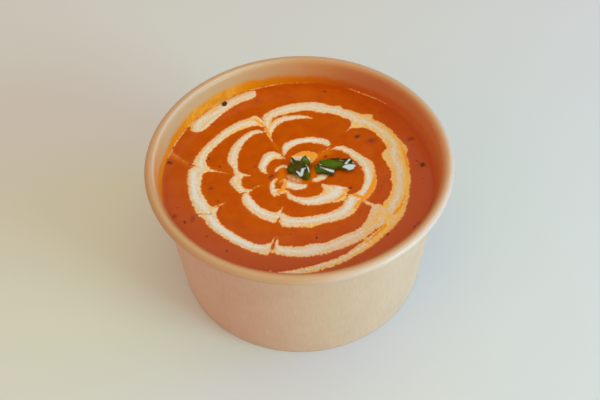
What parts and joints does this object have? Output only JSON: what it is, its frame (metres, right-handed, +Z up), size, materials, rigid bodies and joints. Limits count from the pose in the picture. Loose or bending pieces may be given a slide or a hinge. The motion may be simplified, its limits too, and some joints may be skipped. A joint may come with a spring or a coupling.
{
  "type": "bowl of butter chicken",
  "caption": "Round paper takeaway bowl with a rolled rim, filled with smooth orange curry gravy, a feathered cream swirl and a coriander garnish.",
  "frame": {"origin": "centre of the foot, on the surface the bowl stands on", "axes": "+Z up; -Y towards the viewer of the picture; +X to the viewer's right"},
  "size_m": [0.15, 0.15, 0.0772],
  "materials": {
    "kraft_paper": "pale kraft board, matt outside, lined and slightly shiny inside",
    "gravy": "wet glossy orange gravy with an ivory cream swirl and dark flakes",
    "coriander": "wet dark green leaf"
  },
  "bodies": {
    "root": {"bowl": "kraft_paper", "gravy": "gravy", "coriander_left": "coriander", "coriander_right": "coriander"}
  },
  "joints": []
}
